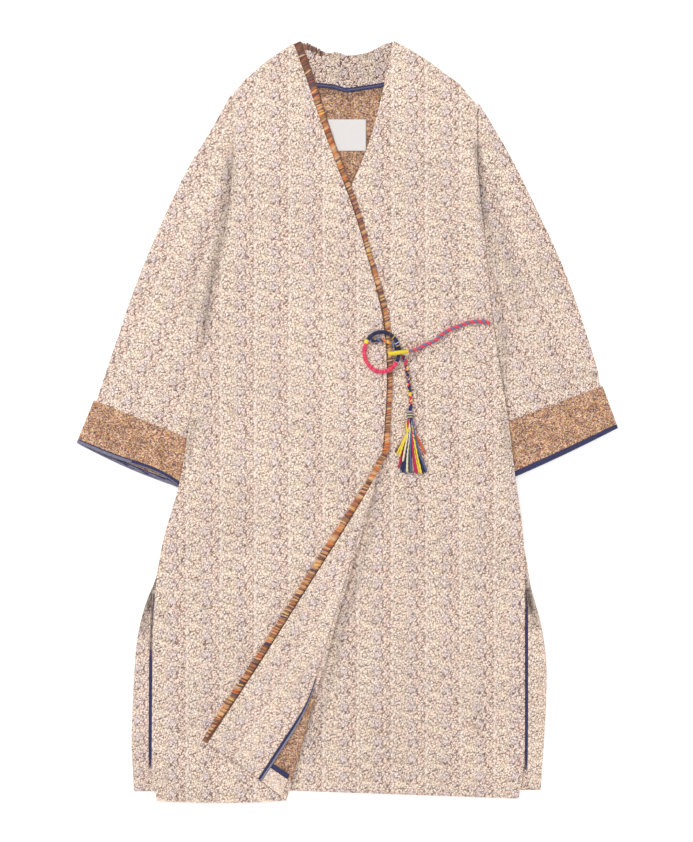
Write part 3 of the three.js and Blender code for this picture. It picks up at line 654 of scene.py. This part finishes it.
def twisted(route, count, offset, pitch, phase=0.0):  # centrelines of strands laid round a route
    lines = [[] for _ in range(count)]
    walked = 0.0
    side = Vector((0, 0, 1))
    for n, point in enumerate(route):
        ahead = headingAt(route, n)
        side = (side - ahead * side.dot(ahead)).normalized()
        other = ahead.cross(side)
        if n:
            walked += (point - route[n - 1]).length
        for k in range(count):
            angle = phase + 2 * math.pi * (k / count + walked / pitch)
            lines[k].append(point + (side * math.cos(angle) + other * math.sin(angle)) * offset)
    return lines


# ---- cords ----
braid = {
    "route": [(95.2, 108.5, 12.9), (104.9, 110.8, 10.6), (112.5, 114.3, 8.6), (120.4, 118.6, 7.5),
              (135.2, 124.8, 7.3), (149.9, 137.2, 7.3), (165.4, 144.9, 7.5), (180.9, 151.1, 9),
              (190, 153.6, 9.9), (199.5, 154.8, 10.1), (213.4, 154.2, 10.1), (221, 151.8, 10.1)],
    "diameter": 5.2, "strand": 1.45, "offset": 1.5, "pitch": 12.5, "count": 5, "length": 140,
    "tints": (0.1, 0.9, 0.35, 0.6, 0.65),
    "shades": [(0.0, (228, 52, 84)), (0.3, (204, 62, 92)), (0.55, (112, 116, 150)), (0.8, (238, 88, 98))],
}
twist = {
    "route": [(86.4, 101.6, 7), (89.6, 94, 7), (92, 83, 7), (93, 75, 7), (94.5, 62.5, 7), (97.2, 45, 7),
              (98, 36, 7), (98.2, 26, 7), (97.4, 17.2, 7)],
    "diameter": 4.4, "strand": 1.65, "offset": 1.5, "pitch": 13, "count": 4, "length": 86,
    "shades": [(0.0, (42, 42, 84)), (0.3, (242, 210, 66)), (0.45, (236, 222, 196)), (0.6, (214, 54, 84)),
               (0.75, (112, 98, 140)), (0.9, (60, 60, 92))],
    "tints": (0.1, 0.1, 0.36, 0.36, 0.36, 0.5, 0.66, 0.66, 0.8, 0.1), "changes": 18,
}
chance = random.Random(11)
braidYarn = makeYarn("braidYarn", braid["shades"])
twistYarn = makeYarn("twistYarn", twist["shades"])


def makeCord(name, cord, yarn, tintOf):  # strands laid round one route
    route = smoothRoute(placesOf(cord["route"]), 1.2 * mm)
    tubes = TubeSet()
    for k, line in enumerate(twisted(route, cord["count"], cord["offset"] * mm, cord["pitch"] * mm)):
        tubes.add(line, cord["strand"] * mm, tintOf(k), 7)
    return tubes.build(name, yarn), route


braidPiece, braidRoute = makeCord("braidedCord", braid, braidYarn, lambda k: braid["tints"][k])
twistTints = [[chance.choice(twist["tints"]) for _ in range(twist["changes"] + 1)]
              for _ in range(twist["count"])]
twistPiece, twistRoute = makeCord("twistedCord", twist, twistYarn,
                                  lambda k: lambda share: twistTints[k][int(share * twist["changes"])])
settle(braidPiece, "cord_braided")
settle(twistPiece, "cord_twisted")
print("cords")

# ---- tassel ----
tassel = {
    "shades": [(0.0, (38, 38, 78)), (0.34, (240, 214, 70)), (0.54, (86, 98, 138)), (0.66, (236, 222, 186)),
               (0.76, (196, 40, 84)), (0.88, (222, 96, 52)), (0.95, (108, 74, 62))],
    "top": (97.2, 16.4, 8.8), "waist": (98.0, -9, 8.4), "floor": 4.9, "radius": 1.85,
    "middle": 98, "halfFan": 24, "layers": 3, "layerStep": 1.7,
    # x, y, z, radius, tint
    "knots": [(94.6, 4, 10.4, 1.9, 0.78), (98.6, 5, 10.6, 1.7, 0.1), (92.6, 0, 8.6, 1.4, 0.36),
              (101, 2, 9, 1.5, 0.6), (97, -2, 11.4, 1.2, 0.7)],
    # x and y of the tip, tint
    "tips": [(74, -47, 0.97), (77, -50, 0.4), (80, -55, 0.4), (79, -72, 0.8), (82.5, -76, 0.1),
             (85, -79, 0.1), (88, -80, 0.58), (90.5, -81, 0.58), (92.5, -79, 0.7), (95, -73, 0.1),
             (96.5, -80, 0.97), (99.5, -80, 0.58), (102, -77, 0.7), (105, -80, 0.8), (108, -81, 0.8),
             (107, -68, 0.1), (111.5, -80, 0.4), (114.5, -81, 0.4), (118, -81, 0.1), (121, -80, 0.1),
             (123.5, -78, 0.58), (116, -58, 0.9), (120.5, -50, 0.9), (113, -66, 0.1), (90, -66, 0.4),
             (98, -62, 0.1), (86, -62, 0.7), (103, -64, 0.4)],
    "headTints": (0.57, 0.7, 0.97, 0.57, 0.7, 0.58, 0.97, 0.7, 0.1),
}


def makeTassel():
    yarn = makeYarn("tasselYarn", tassel["shades"])
    tubes = TubeSet()
    top, waist = Vector(tassel["top"]) * mm, Vector(tassel["waist"]) * mm
    for n, (x, y, tint) in enumerate(tassel["tips"]):
        across = (x - tassel["middle"]) / tassel["halfFan"]  # share of the fan
        layer = n % tassel["layers"]
        z = tassel["floor"] + 1.2 + layer * tassel["layerStep"]
        root = Vector((tassel["top"][0] + across * 2.2, 4, 8.2 + (layer - 1) * tassel["layerStep"])) * mm
        bend = Vector((tassel["middle"] + across * 4.5, -14, z + 1.6)) * mm
        drift = chance.uniform(-2, 2)
        middle = Vector((tassel["middle"] + across * 13 + drift, -14 + (y + 14) * 0.5, z)) * mm
        tip = Vector((x, y, z - 0.3)) * mm
        route = smoothRoute([root, bend, middle, tip], 4 * mm)
        for k, line in enumerate(twisted(route, 2, 0.55 * mm, 5 * mm, n)):
            tubes.add(line, (tassel["radius"] - 0.45) * mm, tint, 6)
    for x, y, z, size, tint in tassel["knots"]:
        bulge = placesOf([(x, y, z), (x - 0.8, y - 5, z + 0.7), (x - 0.3, y - 11, z + 0.4),
                          (x + 0.9, y - 17, z - 1.2)])
        tubes.add(smoothRoute(bulge, 2 * mm), size * mm, tint, 8)
    strands = tubes.build("tasselStrands", yarn)
    tubes = TubeSet()
    for n, tint in enumerate(tassel["headTints"]):  # wraps round the head
        share = n / (len(tassel["headTints"]) - 1)
        middle = top.lerp(waist, 0.02 + 0.42 * share)
        size = (3.5 + 0.6 * math.sin(3 * share)) * mm
        ring = [middle + Vector((math.cos(a) * size, 0.5 * mm * math.sin(a), math.sin(a) * size * 0.95))
                for a in [2 * math.pi * k / 14 for k in range(15)]]
        tubes.add(ring, 0.75 * mm, tint, 6, False)
    core = smoothRoute([top, top.lerp(waist, 0.5), waist], 2 * mm)
    tubes.add(core, lambda t: (3.2 - 0.7 * t) * mm, 0.57, 12)
    return strands, tubes.build("tasselHead", yarn)


tasselStrands, tasselHead = makeTassel()
for piece in (tasselStrands, tasselHead):
    settle(piece, "tassel")
print("tassel")

# ---- ring, winding and bar ----
ring = {
    "x": 53.2, "y": 107.9, "z": 10.8, "halfWidth": 26.8, "halfHeight": 30.8, "radius": 3.1, "wrapPitch": 1.1,
    "shades": [(0.0, (30, 30, 70)), (0.2, (52, 50, 92)), (0.4, (224, 44, 92)), (0.6, (240, 92, 116)),
               (0.8, (244, 222, 60)), (0.9, (196, 120, 60))],
}
winding = {
    "shades": [(0.0, (36, 38, 82)), (0.3, (222, 228, 240)), (0.45, (110, 130, 170)),
               (0.6, (226, 120, 50)), (0.72, (120, 78, 56)), (0.85, (240, 210, 80))],
    "chord": [(29, 121, 10.4), (38, 124.5, 10.9), (50.7, 126, 11), (63.1, 123.5, 11), (72, 117, 11.2),
              (78, 109, 10.9), (82, 102, 9.6)],
    "tints": (0.1, 0.1, 0.1, 0.65, 0.78, 0.78, 0.9, 0.5), "changes": 8,
    # angle on the ring where a loose turn starts, tint
    "turns": [(131, 0.1), (62, 0.75), (48, 0.9), (36, 0.1), (27, 0.35), (19, 0.9), (11, 0.1)],
    "tail": [(28, 126, 9.2), (22, 125.5, 8.2), (15, 123.4, 7.8)],
    "spare": [(92.5, 118.6, 7), (94.2, 114, 8), (94, 107.7, 8.8)],
}
bar = {
    "route": [(63.9, 104.6, 13), (70.8, 105.4, 15.6), (78.5, 106.4, 16.8), (87, 107.4, 15.8),
              (94.6, 108.4, 13.2)],
    "radius": 3.4, "shades": [(0.0, (242, 222, 50)), (0.6, (228, 200, 40)), (0.85, (248, 236, 110))],
}
ringYarn = makeYarn("ringYarn", ring["shades"])
windingYarn = makeYarn("windingYarn", winding["shades"])
barYarn = makeYarn("barYarn", bar["shades"], False)


def onRing(degrees, grow=0.0, up=0.0):
    angle = math.radians(degrees)
    return Vector((ring["x"] + (ring["halfWidth"] + grow) * math.cos(angle),
                   ring["y"] + (ring["halfHeight"] + grow) * math.sin(angle), ring["z"] + up)) * mm


def wrappedTube(name, node, line, radius, tints, yarn):  # thread wound closely round a core
    tubes = TubeSet()
    route = smoothRoute(line, 0.28 * mm)
    along = [0.0]
    for a, b in zip(route, route[1:]):
        along.append(along[-1] + (b - a).length)
    length = along[-1]

    def wound(t):
        ridge = abs(math.sin(math.pi * t * length / (ring["wrapPitch"] * mm)))
        return radius(t) * mm * (0.955 + 0.045 * ridge)

    tubes.add(route, wound, tints, 12)
    settle(tubes.build(name, yarn), node)


def threadTint(low, high):
    return lambda t: low + (high - low) * (0.5 + 0.5 * noise.noise(Vector((t * 60, low * 7, 0))))


def ringArc(start, turn, count):
    return [onRing(start - turn * k / count) for k in range(count + 1)]


def barRadius(t):  # thinner at its ends
    return bar["radius"] * (0.72 + 0.28 * math.sin(math.pi * min(1, 0.15 + t * 0.8)))


wrappedTube("navyArc", "ring_navy", ringArc(142.5, 172.5, 22), lambda t: ring["radius"],
            threadTint(0.02, 0.36), ringYarn)
wrappedTube("crimsonArc", "ring_crimson", ringArc(-31, 172, 24), lambda t: ring["radius"],
            threadTint(0.42, 0.76), ringYarn)
wrappedTube("yellowWrap", "ring_wrap", ringArc(155.6, 11.7, 4),
            lambda t: ring["radius"] + 0.45, 0.84, ringYarn)
wrappedTube("barPiece", "toggle_bar", placesOf(bar["route"]), barRadius,
            threadTint(0.1, 0.9), barYarn)


def makeWinding():  # loose multi-coloured yarn laid along the inside of the navy arc and round it
    tubes = TubeSet()
    chord = smoothRoute(placesOf(winding["chord"]), 1.0 * mm)
    for line in twisted(chord, 4, 1.5 * mm, 14 * mm):
        picks = [chance.choice(winding["tints"]) for _ in range(winding["changes"] + 1)]
        tubes.add(line, 1.35 * mm, lambda share, picks=picks: picks[int(share * winding["changes"])], 6)
    for fromAngle, tint in winding["turns"]:
        loop = []
        for k in range(17):
            angle = 2 * math.pi * k / 16
            grow = math.cos(angle) * (ring["radius"] + 0.5)
            loop.append(onRing(fromAngle - 3.5 * k / 16, grow, math.sin(angle) * (ring["radius"] + 0.5)))
        tubes.add(loop, 0.55 * mm, tint, 6)
    tail, spare = placesOf(winding["tail"]), placesOf(winding["spare"])
    tubes.add(smoothRoute(tail, 1 * mm), 0.45 * mm, 0.75, 6)  # brown end beside the yellow wrap
    tubes.add(smoothRoute(spare, 1 * mm), 0.6 * mm, 0.65, 6)  # loose orange thread
    return tubes.build("windingPiece", windingYarn)


settle(makeWinding(), None)
print("ring and bar")

# ---- cloth ----
turnover = {"neckHalf": 0.1, "shoulderY": 0.3, "slitX": 0.262, "slitTop": -0.13}
backPiece = clothFrom("back", "backPanel", [bodyCloth, insideCloth], lift=0.0)
for face in backPiece.data.polygons:  # inside is up; shoulders and slit sides show the outer side
    x, y = abs(face.center.x), face.center.y
    inside = face.normal.z > 0.5 and (x < turnover["neckHalf"] or y < turnover["shoulderY"])
    atSlit = x > turnover["slitX"] and y < turnover["slitTop"]
    face.material_index = 1 if inside and not atSlit else 0
paintedInsideShadows = [  # painted shadow along the trim, under the neck binding and at the top of each slit
    ([(-80, 524), (-38, 512), (-5, 507), (29, 512), (84, 522)], 18, 0.24),
    ([(-70, 520), (-37, 466), (-16, 408), (8, 345)], 15, 0.2),
    ([(274, -236), (279, -262), (288, -305)], 11, 0.8),
    ([(280, -240), (288, -285), (294, -330)], 16, 0.4),
    ([(-297, -236), (-303, -266), (-311, -305)], 11, 0.7),
    ([(-300, -240), (-312, -290), (-318, -340)], 16, 0.36),
]
paintDim(backPiece, paintedInsideShadows)
paintedSideShadows = [  # painted shadow where the sleeves go under the fronts
    ([(-176, 445), (-184, 372), (-192, 310), (-206, 240), (-219, 165), (-228, 90)], 17, 0.34),
    ([(-184, 400), (-189, 350), (-196, 300), (-207, 255)], 10, 0.3),
    ([(-214, 330), (-228, 262), (-240, 200), (-252, 120)], 16, 0.14),
    ([(196, 450), (206, 390), (210, 340), (218, 285)], 12, 0.42),
    ([(208, 360), (224, 270), (236, 180), (242, 100), (248, 20)], 16, 0.2),
    ([(222, 400), (238, 310), (256, 220), (266, 130)], 18, 0.15),
    ([(-230, 18), (-244, -30), (-256, -75)], 14, 0.2), ([(238, 30), (246, -20), (252, -70)], 14, 0.2),
]
leftFront = clothFrom("front_left", "leftFrontPanel", [bodyCloth, insideCloth])
for face in leftFront.data.polygons:
    face.material_index = 1 if face.normal.z < -0.5 else 0
rightFront = clothFrom("front_right", "rightFrontPanel", [bodyCloth, insideCloth],
                       seed=Vector((-0.1, 0.2, 0.0075)))
foldSlope, foldApex = math.tan(math.radians(15.8)), Vector((0.0584, -0.0442))
triangleTop, triangleFoot = -0.424, -0.556
flapHem = placesOf([(-220.6, -496.8), (-119.8, -554.1)])
for face in rightFront.data.polygons:  # but for the triangle of the reverse, the fold shows the outer side
    x, y = face.center.x, face.center.y
    atFold = abs(x - foldApex.x - (y - foldApex.y) * foldSlope) < 12 * mm
    outside = triangleTop < y < foldApex.y + 20 * mm or y < triangleFoot
    if atFold and outside or nearestOn(flapHem, x, y)[0] < 7 * mm:
        face.material_index = 0
# painted shadow of the right front's fold on the left front, with the painted sleeve shadows
paintDim(leftFront, [*paintedSideShadows, ([(66, -70), (20, -230), (-20, -370), (-60, -540)], 12, 0.22)])
# painted shadow where the sleeves go under the fronts
paintDim(rightFront, paintedSideShadows)
print("body panels")

cuffOutward = Vector((-0.42, -0.91, 0))  # where the right opening looks
leftCuffTurn = 64.6  # how the left opening runs, in degrees
for side, cloth, cuffCloth, lipCloth in (("right", rightSleeveCloth, cuffClothRight, lipTape),
                                         ("left", leftSleeveCloth, cuffClothLeft, leftLipTape)):
    sleeve = clothFrom(f"sleeve_{side}", f"{side}Sleeve", [cloth])
    for v in sleeve.data.vertices:  # the floor side stays on the table
        v.co.z = max(v.co.z, 0.0)
    # painted shadow where the sleeve goes under the front
    paintDim(sleeve, paintedSideShadows)
    clothFrom(f"cuff_{side}", f"{side}Cuff", [cuffCloth], lift=0.0, levels=4)
    lip = clothFrom(f"cuff_binding_{side}", f"{side}CuffBinding", [lipCloth], 0.9, 0.0, 0)
    # painted highlight: lavender on the right lip's outward-leaning faces, along one side of the left one
    if side == "right":
        paintLean(lip, cuffOutward)
    else:
        paintBetween(lip, -leftCuffTurn)
print("sleeves and cuffs")

clothFrom("flap_facing", "flapFacing", [flapCloth])
clothFrom("flap_hem_facing", "hemFacing", [hemCloth])
flapBinding = clothFrom("flap_facing_binding", "flapBinding", [pairedTape], rim=0.7, bevel=0)
# painted highlight: lavender along one side of the strip
paintBetween(flapBinding, flapTurn)
clothFrom("flap_hem_binding", "hemBinding", [navyTape], rim=0.7, bevel=0)
neckFacing = clothFrom("neck_facing", "neckFacing", [neckCloth], lift=0.0)
# the neck facing darker all over
paintDim(neckFacing, [([(-260, 545), (260, 545)], 130, 0.16)])
neckBinding = clothFrom("neck_binding", "neckBinding", [neckTape], lift=0.0, bevel=0)
# painted highlight: a lavender line along the binding's middle
neckEdge = [(-72, 529), (-56, 526), (-38, 524), (-19, 522), (-2, 516.5), (13, 518.5), (43, 523), (70, 528)]
paintAcross(neckBinding, neckEdge, 7)
for side, taperFrom in (("right", 0.58), ("left", 0.8)):  # the right one goes under the front's edge
    slitFacing = clothFrom(f"slit_facing_{side}", f"{side}SlitFacing", [facingCloth], lift=0.0)
    # painted shadow at the top of the slit
    paintDim(slitFacing, paintedInsideShadows)
    slitBinding = clothFrom(f"slit_binding_{side}", f"{side}SlitBinding", [navyTape],
                            0.7, 0.0, 0)
    taperEnds(slitBinding, taperFrom)
print("facings and bindings")

# ---- label: bare woven tab ----
label = {
    "x": -2, "y": 443.7, "width": 62, "height": 48.8, "base": 2.4, "thick": 0.8, "turn": 2.5, "wave": 17,
    "shades": [(0.3, (214, 209, 206)), (0.7, (233, 229, 227))], "threads": 2200.0,
}


def makeLabel():
    deselect()
    bpy.ops.mesh.primitive_grid_add(x_subdivisions=44, y_subdivisions=36, size=1)
    piece = bpy.context.object
    piece.name = "wovenLabel"
    for v in piece.data.vertices:
        x, y = v.co.x * label["width"], v.co.y * label["height"]
        edge = min(label["height"] / 2 - abs(y), 6.0)
        wave = noise.noise(Vector((x, y, 0)) / label["wave"])
        rise = 0.25 * (1 - math.exp(-edge / label["turn"])) + 0.26 * wave
        v.co = Vector((label["x"] + x, label["y"] + y, label["base"] + rise)) * mm
    modify(piece, "SOLIDIFY", thickness=label["thick"] * mm, offset=1.0)
    material, tree = newMaterial("labelSatin", 0.6, 0.1)
    place = objectPlace(tree)
    fibre = noiseOf(tree, place, 900, 2)
    weave = useGroup(tree, threadGroup, {"Place": place, "Threads": label["threads"]})
    finished(material, rampOf(tree, fibre, label["shades"]), weave["Height"], 0.5, 0.0003)
    piece.data.materials.append(material)
    smoothFaces(piece)
    return piece


settle(makeLabel(), "label")
print("label")

# ---- yarn trim ----
trim = {
    "path": [(-78, 585), (-57, 528), (-37, 466), (-16, 408), (14, 331), (37, 250), (60, 165), (67, 75),
             (63, -2), (60.5, -44), (52.5, -60), (42, -80), (31, -99), (-7.5, -160), (-47.8, -223),
             (-90, -290), (-139.8, -369), (-197, -455), (-218, -489)],
    "pitch": 2.3, "long": 2.7, "high": 3.6, "coreDrop": 3.0, "seed": 5, "fallback": 7,
    "shades": [(0.0, (214, 160, 112)), (0.22, (170, 122, 90)), (0.38, (216, 128, 72)),
               (0.50, (228, 186, 140)), (0.63, (140, 98, 78)), (0.75, (112, 82, 90)), (0.83, (180, 98, 66)),
               (0.90, (120, 76, 60)), (0.94, (236, 198, 110)), (0.97, (76, 66, 90))],
    "coreShades": [(0.0, (140, 98, 72)), (0.5, (120, 84, 66))],
}
collar = {
    "path": [(-84, 577), (-77, 581), (-63, 581), (-50, 575.5), (-38, 570), (-29, 569), (-17, 570.5),
             (-5, 567.5)],
    "shades": [(0.0, (150, 112, 92)), (0.17, (104, 78, 72)), (0.36, (136, 96, 74)), (0.5, (88, 64, 62)),
               (0.66, (172, 134, 108)), (0.74, (76, 66, 80)), (0.82, (206, 186, 170)),
               (0.88, (168, 140, 124)), (0.94, (228, 206, 190))],
    "loops": 0.62, "seed": 8, "fallback": 5,
}
trimYarn = makeYarn("trimYarn", trim["shades"])
coreYarn = makeYarn("coreYarn", trim["coreShades"])
collarYarn = makeYarn("collarYarn", collar["shades"])


def ribShape():  # one stitch of yarn, modelled once: x across, y along, z up
    deselect()
    bpy.ops.mesh.primitive_uv_sphere_add(segments=8, ring_count=6, radius=0.5)
    stitch = bpy.context.object
    shape = [v.co.copy() for v in stitch.data.vertices]
    faces = [tuple(f.vertices) for f in stitch.data.polygons]
    bpy.data.objects.remove(stitch)
    return shape, faces


def heightOver(nodeName):
    node = nodes[nodeName].data
    tree = BVHTree.FromPolygons([v.co for v in node.vertices], [tuple(p.vertices) for p in node.polygons])

    def top(x, y, missing):
        hit = tree.ray_cast(Vector((x, y, 0.1)), Vector((0, 0, -1)))[0]
        return hit.z if hit else missing
    return top


def ribRun(name, run, widthOf, topOf, yarn, tintOf):  # stitches side by side along a path
    shape, faces = ribShape()
    dice = random.Random(run["seed"])
    route = smoothRoute(placesOf(run["path"]), trim["pitch"] * mm)
    points, polygons, tints = [], [], []
    count = len(route)
    height = run["fallback"] * mm
    for n, spot in enumerate(route):
        ahead = headingAt(route, n)
        lean = dice.uniform(-0.2, 0.2) + 0.22
        ahead = Vector((ahead.x * math.cos(lean) - ahead.y * math.sin(lean),
                        ahead.x * math.sin(lean) + ahead.y * math.cos(lean), 0))
        across = Vector((ahead.y, -ahead.x, 0))
        height = topOf(spot.x, spot.y, height)
        wide, high = widthOf(n / (count - 1)) * dice.uniform(0.92, 1.12) * mm, trim["high"] * mm
        middle = Vector((spot.x, spot.y, height - 0.5 * high + 0.15 * mm))
        middle += across * dice.uniform(-0.9, 0.9) * mm
        tint = tintOf(n / (count - 1), dice)
        first = len(points)
        thick = trim["long"] * dice.uniform(0.85, 1.15) * mm
        for p in shape:
            flat = math.copysign(abs(2 * p.x) ** 0.7, p.x) / 2  # blunter ends
            raised = Vector((0, 0, p.z * high))
            points.append(middle + across * (flat * wide) + ahead * (p.y * thick) + raised)
            tints.append(tint)
        polygons += [tuple(first + k for k in f) for f in faces]
    return builtFrom(name, points, polygons, tints, yarn)


def frontTrimWidth(t):
    wide = 13 - 4.2 * eased(t, 0, 0.3) + 3.2 * eased(t, 0.5, 0.62)
    return wide * (1 - 0.6 * eased(t, 0.95, 1.0))


frontTrim = ribRun("frontTrim", trim, frontTrimWidth, heightOver("front_trim"), trimYarn,
                   lambda t, dice: dice.random() if t > 0.06 else dice.uniform(0.6, 0.93))
for v in frontTrim.data.vertices:
    v.co.z += clothLift(v.co.x, v.co.y)
settle(frontTrim, "front_trim")
trimCore = clothFrom("front_trim", "trimCore", [coreYarn], rim=0.6, bevel=0, levels=2)
for v in trimCore.data.vertices:
    v.co.z -= trim["coreDrop"] * mm


def collarWidth(t):  # thick over the peak, small loops along the neck facing
    return 13 - 3 * eased(t, 0.15, 0.55) - 5.5 * eased(t, 0.58, 0.66)


def collarTint(t, dice):
    return dice.uniform(0.0, 0.8) if t < collar["loops"] else dice.uniform(0.8, 1.0)


collarTrim = ribRun("collarTrim", collar, collarWidth, heightOver("collar_trim"), collarYarn, collarTint)
settle(collarTrim, "collar_trim")
print("trim")

# ---- table ----
deselect()
ground = {"size": 8, "drop": 1.5, "shades": [(0.3, (253, 253, 253)), (0.7, (255, 255, 255))], "glow": 0.3}
bpy.ops.mesh.primitive_plane_add(size=ground["size"], location=(0, 0, -ground["drop"] * mm))
table = bpy.context.object
table.name = "tableTop"
tableMaterial, tableTree = newMaterial("paleTable", 0.95)
tableShader = tableTree.nodes["Principled BSDF"].inputs
grain = noiseOf(tableTree, objectPlace(tableTree), 3, 2)
feed(tableTree, tableShader["Base Color"], rampOf(tableTree, grain, ground["shades"]))
tableShader["Emission Color"].default_value = (1, 1, 1, 1)
tableShader["Emission Strength"].default_value = ground["glow"]
table.data.materials.append(tableMaterial)
